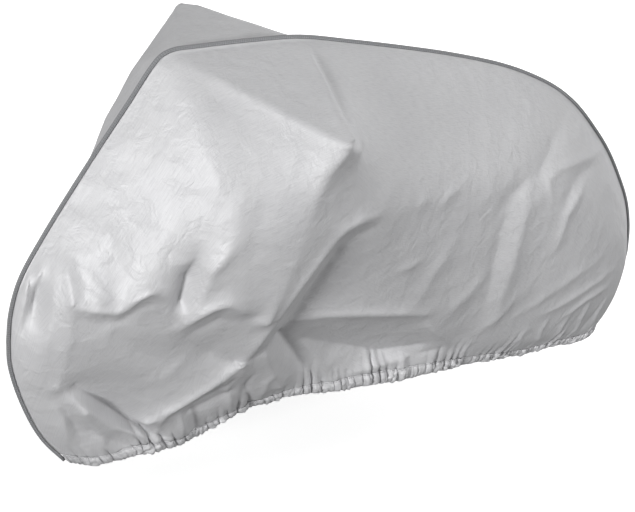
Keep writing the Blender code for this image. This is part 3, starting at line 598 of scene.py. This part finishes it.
def panelGrid(cloth):  # u and v of the panel's points, down to just under the top of the hem's casing
    u = placesFor(clothMesh["columns"], "alongAt", "alongTo")[:, None]
    v = placesFor(clothMesh["rows"], "downAt", "downTo")[None, :]
    return u + 0.0 * v, v * hemShare(cloth, u, hemGathers["casing"] - hemGathers["overlap"])


def hemShare(cloth, u, height):  # v at which the cloth is this far above the hem's edge
    edge = np.ones_like(u)
    near = (1 - hemGathers["measured"]) * edge
    step = np.linalg.norm(rawPoints(cloth, u, near) - rawPoints(cloth, u, edge), axis=-1)
    return 1 - hemGathers["measured"] * height / np.maximum(step, hemGathers["leastMeasured"])


def seamPath(columns, rows):  # grid indices along the seam, from the front tip to the rear tip
    up = [(0, row) for row in range(rows, 0, -1)]
    over = [(column, 0) for column in range(columns + 1)]
    down = [(columns, row) for row in range(1, rows + 1)]
    return up + over + down


def outward(path):  # unit normals in the middle plane that point out of the cover
    along = np.gradient(path[:, [0, 2]], axis=0)
    along /= np.linalg.norm(along, axis=1)[:, None]
    return np.stack([along[:, 1], np.zeros(len(path)), -along[:, 0]], axis=1)


def clearSelection():
    for thing in bpy.context.selected_objects:
        thing.select_set(False)


def applyModifiers(thing):
    clearSelection()
    bpy.context.view_layer.objects.active = thing
    thing.select_set(True)
    for modifier in list(thing.modifiers):
        bpy.ops.object.modifier_apply(modifier=modifier.name)


def clothObject(name, points, quads, flat, material):  # a sheet of cloth with its thickness and its uv map
    mesh = bpy.data.meshes.new(name)
    mesh.from_pydata(points.tolist(), [], quads.tolist())
    layer = mesh.uv_layers.new(name="cloth")
    loops = np.empty(len(mesh.loops), np.int32)
    mesh.loops.foreach_get("vertex_index", loops)
    layer.data.foreach_set("uv", flat[loops].reshape(-1))
    sheet = bpy.data.objects.new(name, mesh)
    bpy.context.scene.collection.objects.link(sheet)
    thicken = sheet.modifiers.new("clothThickness", "SOLIDIFY")
    thicken.thickness = layout["clothThickness"]
    thicken.offset = 0.0
    applyModifiers(sheet)
    mesh.shade_smooth()
    mesh.materials.append(material)
    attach(sheet, "root")
    return sheet


def gridQuads(columns, rows):
    index = np.arange((columns + 1) * (rows + 1)).reshape(columns + 1, rows + 1)
    corners = (index[:-1, :-1], index[:-1, 1:], index[1:, 1:], index[1:, :-1])
    return index, np.stack(corners, axis=-1).reshape(-1, 4)


def placed(points, side):  # moved so that the stem point is the origin, on the +y or the -y side
    moved = points.reshape(-1, 3) - np.array((layout["stemX"], 0.0, layout["stemZ"]))
    moved[:, 1] *= side
    return moved


def addPanel(name, cloth, side, node, material):  # side is +1 on the rider's left and -1 on the right
    points = clothPoints(cloth, *panelGrid(cloth))
    columns, rows = points.shape[0] - 1, points.shape[1] - 1
    path = seamPath(columns, rows)
    line = np.array([points[place] for place in path])
    allowance = line + outward(line) * layout["seamAllowance"]
    index, quads = gridQuads(columns, rows)
    edge = (columns + 1) * (rows + 1) + np.arange(len(path))
    inner = np.array([index[place] for place in path])
    quads = np.concatenate([quads, np.stack([edge[:-1], inner[:-1], inner[1:], edge[1:]], axis=-1)])
    down = np.linalg.norm(np.diff(points, axis=1), axis=2).cumsum(axis=1)
    down = np.concatenate([np.zeros((columns + 1, 1)), down], axis=1)
    flat = np.stack([points[..., 0], -down], axis=-1).reshape(-1, 2)
    cut = np.full(len(line), layout["allowanceAsCut"])
    flat = np.concatenate([flat, np.stack([line[:, 0], cut], axis=-1)])
    everyPoint = placed(np.concatenate([points.reshape(-1, 3), allowance]), side)
    panel = clothObject(name, everyPoint, quads if side > 0 else quads[:, ::-1], flat, material)
    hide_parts(node)
    return panel


def crinkleHeight(along):  # of the casing's small pleats, which are creased along their crests
    down = np.linspace(0.0, 1.0, hemGathers["rows"] + 1)[None, :]
    turn = uneven(crinkle["wander"], along, 2 * math.pi * along / crinkle["pitch"])
    size = uneven(crinkle["sizes"], along, crinkle["size"])
    slant = 0.0
    for amount, downRate, alongRate in crinkle["slants"]:
        slant = slant + amount * np.sin(down * downRate + along * alongRate)
    wave = 1 - np.abs(np.sin((turn + slant) / 2))  # halved, because a crease comes twice in a sine's turn
    across = crinkle["crossingPitch"] * turn + crinkle["crossingDown"] * down
    wave += crinkle["crossing"] * (1 - np.abs(np.sin(across + crinkle["crossingSlant"] * slant)))
    arch = np.sin(math.pi * (crinkle["archFrom"] + crinkle["archOver"] * down)) ** crinkle["archPower"]
    return crinkle["depth"] * np.maximum(size, crinkle["leastSize"]) * wave * arch


def addHemCasing(name, cloth, side, material):  # the cloth turned up over the elastic and sewn
    u = np.linspace(hemGathers["tipGap"], 1 - hemGathers["tipGap"], hemGathers["columns"] + 1)[:, None]
    top = hemShare(cloth, u, hemGathers["casing"] + hemGathers["overlap"])
    v = top + (1 - top) * np.linspace(0.0, 1.0, hemGathers["rows"] + 1)[None, :]
    points = clothPoints(cloth, u + 0.0 * v, v)
    along = np.gradient(points, axis=0)
    down = np.gradient(points, axis=1)
    normals = np.cross(down, along)
    normals /= np.linalg.norm(normals, axis=-1)[..., None]
    height = layout["clothThickness"] + hemGathers["gap"] + crinkleHeight(cloth["along"][-1] * u)
    points = points + normals * height[..., None]
    index, quads = gridQuads(hemGathers["columns"], hemGathers["rows"])
    run = np.concatenate([[0.0], np.cumsum(np.linalg.norm(np.diff(points[:, -1], axis=0), axis=1))])
    drop = np.linspace(0.0, -hemGathers["casing"], hemGathers["rows"] + 1)
    flat = np.stack(np.meshgrid(run, drop, indexing="ij"), axis=-1).reshape(-1, 2)
    return clothObject(name, placed(points, side), quads if side > 0 else quads[:, ::-1], flat, material)


def colour(hexCode):  # sRGB hex to linear RGBA
    parts = [int(hexCode[k:k + 2], 16) / 255 for k in (1, 3, 5)]
    return tuple(c / 12.92 if c < 0.04045 else ((c + 0.055) / 1.055) ** 2.4 for c in parts) + (1.0,)


def addNode(tree, kind, settings=(), links=()):  # settings go on sockets or properties, links feed sockets
    node = tree.nodes.new(kind)
    for key, value in dict(settings).items():
        if isinstance(key, int) or key in node.inputs:
            node.inputs[key].default_value = value
        else:
            setattr(node, key, value)
    for key, source in dict(links).items():
        tree.links.new(source, node.inputs[key])
    return node


def newMaterial(name):
    material = bpy.data.materials.new(name)
    material.use_nodes = True
    return material, material.node_tree, material.node_tree.nodes["Principled BSDF"]


silverCloth = {
    "light": "#C8C8C9",
    "dark": "#BCBCBE",
    "cloudsPerMetre": 6.0,  # where the coat is thicker or thinner
    "streak": "#9C9CA0",
    "threadMm": 1.5,  # a thread is about 0.3 mm wide, drawn coarser so that its streak shows
    "threadRunMm": 22.0,
    "streakFrom": 0.44,
    "streakTo": 0.74,
    "streakShare": 0.42,
    "grainMm": 1.5,
    "crumpleMm": 38.0,
    "swirl": 0.05,  # how far the crumple bends the facets
    "facetMm": 62.0,
    "smoothest": 0.50,
    "roughest": 0.66,
    "silver": 0.20,  # metallic share of the coat
    # columns: strength, depth in metres
    "relief": {
        "facets": (0.55, 0.0042), "crumple": (0.60, 0.0042),
        "threads": (0.40, 0.0004), "grain": (0.45, 0.0003),
    },
}


stitching = {
    "pitchMm": 3.6,
    "threadMm": 0.9,  # a sewing thread is about 0.4 mm, drawn coarser so that it shows
    "rise": 0.0006,
    "relief": 0.8,
    "threadShare": 0.68,  # of the pitch, the rest is the dip between two stitches
    "hemDrop": 0.0045,  # below the casing's upper edge
    "tapeRise": 0.0026,  # above the tape's lower edge
    "hemThread": "#8B8C8F",
    "tapeThread": "#B2B3B6",
}


def stitchMask(tree, uvName, across):  # 1 on the thread of a lockstitch that runs along u at v = across
    halfThread = stitching["threadMm"] / 2 / 1000
    where = addNode(tree, "ShaderNodeUVMap", {"uv_map": uvName})
    split = addNode(tree, "ShaderNodeSeparateXYZ", (), {"Vector": where.outputs["UV"]})
    inLine = addNode(tree, "ShaderNodeMath", {"operation": "COMPARE", 1: across, 2: halfThread}, {
        0: split.outputs["Y"],
    })
    count = addNode(tree, "ShaderNodeMath", {"operation": "MULTIPLY", 1: 1000 / stitching["pitchMm"]}, {
        0: split.outputs["X"],
    })
    part = addNode(tree, "ShaderNodeMath", {"operation": "FRACT"}, {0: count.outputs["Value"]})
    onThread = addNode(tree, "ShaderNodeMath", {"operation": "LESS_THAN", 1: stitching["threadShare"]}, {
        0: part.outputs["Value"],
    })
    return addNode(tree, "ShaderNodeMath", {"operation": "MULTIPLY"}, {
        0: inLine.outputs["Value"], 1: onThread.outputs["Value"],
    })


def sewn(tree, shader, mask, thread):  # draws the stitches over what the shader already has
    colourBefore = shader.inputs["Base Color"].links[0].from_socket
    normalBefore = shader.inputs["Normal"].links[0].from_socket
    threaded = addNode(tree, "ShaderNodeMixRGB", {"Color2": colour(thread)}, {
        "Fac": mask.outputs["Value"], "Color1": colourBefore,
    })
    raised = addNode(tree, "ShaderNodeBump", {
        "Strength": stitching["relief"], "Distance": stitching["rise"],
    }, {"Height": mask.outputs["Value"], "Normal": normalBefore})
    tree.links.new(threaded.outputs["Color"], shader.inputs["Base Color"])
    tree.links.new(raised.outputs["Normal"], shader.inputs["Normal"])


# Coated polyester, woven and then given a silver coat: semi-gloss, with darker streaks along the threads
# where the coat is thin, and a fine crumple from being folded away.
def silverPolyester(materialName="silverCoatedPolyester"):
    material, tree, shader = newMaterial(materialName)
    cloth = addNode(tree, "ShaderNodeUVMap", {"uv_map": "cloth"})
    place = addNode(tree, "ShaderNodeTexCoord")
    threads = addNode(tree, "ShaderNodeMapping", {
        "Scale": (1000 / silverCloth["threadRunMm"], 1000 / silverCloth["threadMm"], 1.0),
    }, {"Vector": cloth.outputs["UV"]})
    streaks = addNode(tree, "ShaderNodeTexNoise", {"Scale": 1.0, "Detail": 3.0}, {
        "Vector": threads.outputs["Vector"],
    })
    grain = addNode(tree, "ShaderNodeTexNoise", {"Scale": 1000 / silverCloth["grainMm"], "Detail": 1.0}, {
        "Vector": cloth.outputs["UV"],
    })
    clouds = addNode(tree, "ShaderNodeTexNoise", {"Scale": silverCloth["cloudsPerMetre"], "Detail": 3.0}, {
        "Vector": place.outputs["Object"],
    })
    tint = addNode(tree, "ShaderNodeMixRGB", {
        "Color1": colour(silverCloth["dark"]), "Color2": colour(silverCloth["light"]),
    }, {"Fac": clouds.outputs["Fac"]})
    streakShare = addNode(tree, "ShaderNodeMapRange", {
        "From Min": silverCloth["streakFrom"], "From Max": silverCloth["streakTo"],
        "To Min": 0.0, "To Max": silverCloth["streakShare"],
    }, {"Value": streaks.outputs["Fac"]})
    streaked = addNode(tree, "ShaderNodeMixRGB", {"Color2": colour(silverCloth["streak"])}, {
        "Fac": streakShare.outputs["Result"], "Color1": tint.outputs["Color"],
    })
    tree.links.new(streaked.outputs["Color"], shader.inputs["Base Color"])
    gloss = addNode(tree, "ShaderNodeMapRange", {
        "To Min": silverCloth["smoothest"], "To Max": silverCloth["roughest"],
    }, {"Value": streaks.outputs["Fac"]})
    tree.links.new(gloss.outputs["Result"], shader.inputs["Roughness"])
    crumple = addNode(tree, "ShaderNodeTexNoise", {
        "Scale": 1000 / silverCloth["crumpleMm"], "Detail": 4.0, "Roughness": 0.55, "Distortion": 0.5,
    }, {"Vector": place.outputs["Object"]})
    swirl = addNode(tree, "ShaderNodeVectorMath", {
        "operation": "MULTIPLY_ADD", 1: (silverCloth["swirl"],) * 3,
    }, {0: crumple.outputs["Color"], 2: place.outputs["Object"]})
    facets = addNode(tree, "ShaderNodeTexVoronoi", {"Scale": 1000 / silverCloth["facetMm"]}, {
        "Vector": swirl.outputs["Vector"],
    })
    heights = {
        "facets": facets.outputs["Distance"], "crumple": crumple.outputs["Fac"],
        "threads": streaks.outputs["Fac"], "grain": grain.outputs["Fac"],
    }
    under = {}
    for name, height in heights.items():
        strength, depth = silverCloth["relief"][name]
        bump = addNode(tree, "ShaderNodeBump", {"Strength": strength, "Distance": depth}, {
            "Height": height, **under,
        })
        under = {"Normal": bump.outputs["Normal"]}
    tree.links.new(under["Normal"], shader.inputs["Normal"])
    shader.inputs["Metallic"].default_value = silverCloth["silver"]
    return material, tree, shader


def stitchedHem():  # the same cloth, sewn down along the casing's upper edge
    material, tree, shader = silverPolyester("silverPolyesterHem")
    sewn(tree, shader, stitchMask(tree, "cloth", -stitching["hemDrop"]), stitching["hemThread"])
    return material


bindingTape = {
    "flatWidth": 0.024,
    "thickness": 0.0012,
    "height": 0.0098,
    "start": 0.0018,
    "fit": 0.0004,
    "soft": 0.0011,  # how far the fold is rounded
    "softSide": 0.40,  # shares of that at the middle of the rounding, sideways and down
    "softTop": 0.35,
    "belly": 0.0003,  # the sides stand out a little, at this share of the height
    "bellyAt": 0.45,
    "lengths": 520,
    "curveSteps": {"frontLow": 60, "top": 600, "rearLow": 60},
    "tucked": 2,  # lengths at each end that are turned into the hem
    # light is the tape on the ribs' crests, and dark is painted shade in the grooves between them
    "light": "#87888A",
    "dark": "#727375",
    "ribMm": 5.65,  # real ribs are about 1 mm apart, too fine to show, so they are drawn coarser
    "ribDepth": 0.0003,
    "ribRelief": 0.4,
    "roughness": 0.72,
}
waveTextureTurn = 20.0  # radians for each unit, of a wave texture whose scale is 1


# Grosgrain tape, woven of uncoated polyester with ribs across: matt, with painted shade that darkens the
# grooves between the ribs
def ribbedTape():
    material, tree, shader = newMaterial("greyGrosgrainTape")
    along = addNode(tree, "ShaderNodeUVMap", {"uv_map": "tape"})
    ribScale = 2 * math.pi * 1000 / bindingTape["ribMm"] / waveTextureTurn
    ribs = addNode(tree, "ShaderNodeTexWave", {"Scale": ribScale, "bands_direction": "X"}, {
        "Vector": along.outputs["UV"],
    })
    # painted shade: the colour darkens in the grooves between the ribs, in step with their bump
    ribGrooveShade = addNode(tree, "ShaderNodeMixRGB", {
        "Color1": colour(bindingTape["dark"]), "Color2": colour(bindingTape["light"]),
    }, {"Fac": ribs.outputs["Fac"]})
    tree.links.new(ribGrooveShade.outputs["Color"], shader.inputs["Base Color"])
    bump = addNode(tree, "ShaderNodeBump", {
        "Strength": bindingTape["ribRelief"], "Distance": bindingTape["ribDepth"],
    }, {"Height": ribs.outputs["Fac"]})
    tree.links.new(bump.outputs["Normal"], shader.inputs["Normal"])
    shader.inputs["Roughness"].default_value = bindingTape["roughness"]
    sewn(tree, shader, stitchMask(tree, "tape", stitching["tapeRise"]), stitching["tapeThread"])
    return material


def seamLine(steps):  # the whole seam as x and z points
    parts = [spline(seamCurves[name], count) for name, count in bindingTape["curveSteps"].items()]
    whole = np.concatenate([parts[0][:-1], parts[1][:-1], parts[2]])
    along = np.concatenate([[0.0], np.cumsum(np.linalg.norm(np.diff(whole, axis=0), axis=1))])
    even = np.linspace(0.0, along[-1], steps + 1)
    line = np.stack([np.interp(even, along, whole[:, 0]), np.interp(even, along, whole[:, 1])], axis=1)
    return line, along[-1]


def addBinding(material):  # a tape folded over the panels' raw edges and sewn through
    line, length = seamLine(bindingTape["lengths"])
    line = line[bindingTape["tucked"]:-bindingTape["tucked"]]
    path = np.stack([line[:, 0], np.zeros(len(line)), line[:, 1]], axis=1)
    normals = outward(path)
    inner = layout["seamHalfGap"] + layout["clothThickness"] + bindingTape["fit"]
    outer = inner + bindingTape["thickness"]
    top = bindingTape["height"]
    roof = layout["seamAllowance"] + bindingTape["fit"]
    start, soft = bindingTape["start"], bindingTape["soft"]
    rightHalf = [  # half of the folded tape's section, as sideways place and height
        (outer - soft, top), (outer - soft * bindingTape["softSide"], top - soft * bindingTape["softTop"]),
        (outer, top - soft), (outer + bindingTape["belly"], top * bindingTape["bellyAt"]), (outer, start),
        (inner, start), (inner, roof),
    ]
    leftHalf = [(-across, height) for across, height in rightHalf[::-1]]
    section = leftHalf[2:] + rightHalf + leftHalf[:2]
    shift = np.array((layout["stemX"], 0.0, layout["stemZ"]))
    shape = bmesh.new()
    uv = shape.loops.layers.uv.new("tape")
    rings = [
        [shape.verts.new(p - shift + n * height + np.array((0.0, y, 0.0))) for y, height in section]
        for p, n in zip(path, normals)
    ]
    step = length / bindingTape["lengths"]
    for number, (a, b) in enumerate(zip(rings[:-1], rings[1:])):
        for k in range(len(section)):
            after = (k + 1) % len(section)
            face = shape.faces.new([a[k], b[k], b[after], a[after]])
            low, high = (section[place][1] - start for place in (k, after))
            marks = ((number * step, low), ((number + 1) * step, low),
                     ((number + 1) * step, high), (number * step, high))
            for loop, mark in zip(face.loops, marks):
                loop[uv].uv = mark
    shape.faces.new(rings[0])
    shape.faces.new(rings[-1][::-1])
    bmesh.ops.recalc_face_normals(shape, faces=shape.faces)
    mesh = bpy.data.meshes.new("bindingTape")
    shape.to_mesh(mesh)
    shape.free()
    tape = bpy.data.objects.new("bindingTape", mesh)
    bpy.context.scene.collection.objects.link(tape)
    mesh.materials.append(material)
    mesh.shade_smooth()
    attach(tape, "root")
    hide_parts("seam_binding")
    return tape, length


floorPlan = {
    "size": 40.0,
    "shade": "#E4E4E4",
    "roughness": 0.6,
    "glow": 0.80,  # the studio's white ground
    "glowInPaintedShadow": 0.34,  # dimmer right under the cover, a painted shadow
    "dimFrom": 0.8,  # distances from the stem point between which the painted shadow turns into the white ground
    "dimTo": 1.6,
}


def addFloor():  # pale matt paint that glows so that it reads as white, with a painted shadow under the cover where the glow is dimmer
    clearSelection()
    bpy.ops.mesh.primitive_plane_add(size=floorPlan["size"], location=(0.0, 0.0, -layout["stemZ"]))
    floor = bpy.context.active_object
    floor.name = "floor"
    bpy.ops.object.transform_apply(location=True)
    material, tree, shader = newMaterial("palePaintedFloor")
    shader.inputs["Base Color"].default_value = colour(floorPlan["shade"])
    shader.inputs["Roughness"].default_value = floorPlan["roughness"]
    shader.inputs["Emission Color"].default_value = colour("#FFFFFF")
    place = addNode(tree, "ShaderNodeTexCoord")
    away = addNode(tree, "ShaderNodeVectorMath", {"operation": "LENGTH"}, {
        "Vector": place.outputs["Object"],
    })
    # the glow is dimmer under the cover, which paints a shadow there
    glow = addNode(tree, "ShaderNodeMapRange", {
        "From Min": floorPlan["dimFrom"], "From Max": floorPlan["dimTo"],
        "To Min": floorPlan["glowInPaintedShadow"], "To Max": floorPlan["glow"],
    }, {"Value": away.outputs["Value"]})
    tree.links.new(glow.outputs["Result"], shader.inputs["Emission Strength"])
    floor.data.materials.append(material)
    floor.visible_diffuse = False  # no light is thrown up from the floor
    floor.visible_glossy = False
    floor.visible_shadow = False


view = {
    "azimuth": 33.7,  # from the rider's left towards the front
    "elevation": 28.2,
    "roll": 5.75,
    "distance": 3.745,
    "target": (0.14, 0.0, 0.529),
    "lens": 85.04,
    "sensor": 36.0,
    "farClip": 60.0,
}


def addCamera():
    azimuth, elevation, roll = (math.radians(view[key]) for key in ("azimuth", "elevation", "roll"))
    back = Vector((
        math.sin(azimuth) * math.cos(elevation),
        math.cos(azimuth) * math.cos(elevation),
        math.sin(elevation),
    ))
    side = (-back).cross(Vector((0, 0, 1))).normalized()
    up = side.cross(-back)
    right = side * math.cos(roll) + up * math.sin(roll)
    top = up * math.cos(roll) - side * math.sin(roll)
    target = Vector(view["target"]) - Vector((layout["stemX"], 0.0, layout["stemZ"]))
    camera = bpy.data.objects.new("camera", bpy.data.cameras.new("camera"))
    bpy.context.scene.collection.objects.link(camera)
    camera.data.lens = view["lens"]
    camera.data.sensor_width = view["sensor"]
    camera.data.clip_end = view["farClip"]
    turned = Matrix((right, top, back)).transposed().to_4x4()
    camera.matrix_world = Matrix.Translation(target + back * view["distance"]) @ turned
    bpy.context.scene.camera = camera


studio = {
    "keyFrom": (0.93, 0.37, 0.15),  # direction of the soft key light, from the front and above
    "keyStrength": 2.74,
    "keyAngle": 16.0,
    "fillFrom": (-0.55, 0.75, 0.35),  # a weaker, broader light on the left side
    "fillStrength": 1.34,
    "fillAngle": 50.0,
    "backFrom": (-0.86, -0.50, 0.10),  # keeps the far side and the tail from going dull
    "backStrength": 0.9,
    "backAngle": 60.0,
    "above": 0.555,  # light of the surround overhead
    "below": 0.11,  # and from under the horizon
    "blendFrom": -0.5,  # slopes of the view, up or down, between which one turns into the other
    "blendTo": 0.7,
}


def addLights():
    for name in ("key", "fill", "back"):
        lamp = bpy.data.lights.new(name, "SUN")
        lamp.energy = studio[name + "Strength"]
        lamp.angle = math.radians(studio[name + "Angle"])
        light = bpy.data.objects.new(name, lamp)
        bpy.context.scene.collection.objects.link(light)
        light.rotation_euler = Vector(studio[name + "From"]).to_track_quat("Z", "Y").to_euler()
    world = bpy.data.worlds.new("studio")
    bpy.context.scene.world = world
    world.use_nodes = True
    tree = world.node_tree
    direction = addNode(tree, "ShaderNodeTexCoord")
    split = addNode(tree, "ShaderNodeSeparateXYZ", (), {"Vector": direction.outputs["Generated"]})
    strength = addNode(tree, "ShaderNodeMapRange", {
        "From Min": studio["blendFrom"], "From Max": studio["blendTo"],
        "To Min": studio["below"], "To Max": studio["above"], "interpolation_type": "SMOOTHSTEP",
    }, {"Value": split.outputs["Z"]})
    tree.nodes["Background"].inputs["Color"].default_value = colour("#FFFFFF")
    tree.links.new(strength.outputs["Result"], tree.nodes["Background"].inputs["Strength"])
    bpy.context.scene.view_settings.view_transform = "Standard"


addCamera()
addLights()
addFloor()
print("camera, lights and floor set")
clothMaterial = silverPolyester()[0]
hemMaterial = stitchedHem()
leftHung = hungCloth(leftFolds, leftWrinkles)
rightHung = hungCloth(rightFolds, rightWrinkles)
leftCloth = addPanel("leftCloth", leftHung, 1, "left_panel", clothMaterial)
rightCloth = addPanel("rightCloth", rightHung, -1, "right_panel", clothMaterial)
leftHem = addHemCasing("leftHem", leftHung, 1, hemMaterial)
rightHem = addHemCasing("rightHem", rightHung, -1, hemMaterial)
print("both panels hung and hemmed")
tape, seamLength = addBinding(ribbedTape())
print("binding sewn on,", round(seamLength, 2), "m")
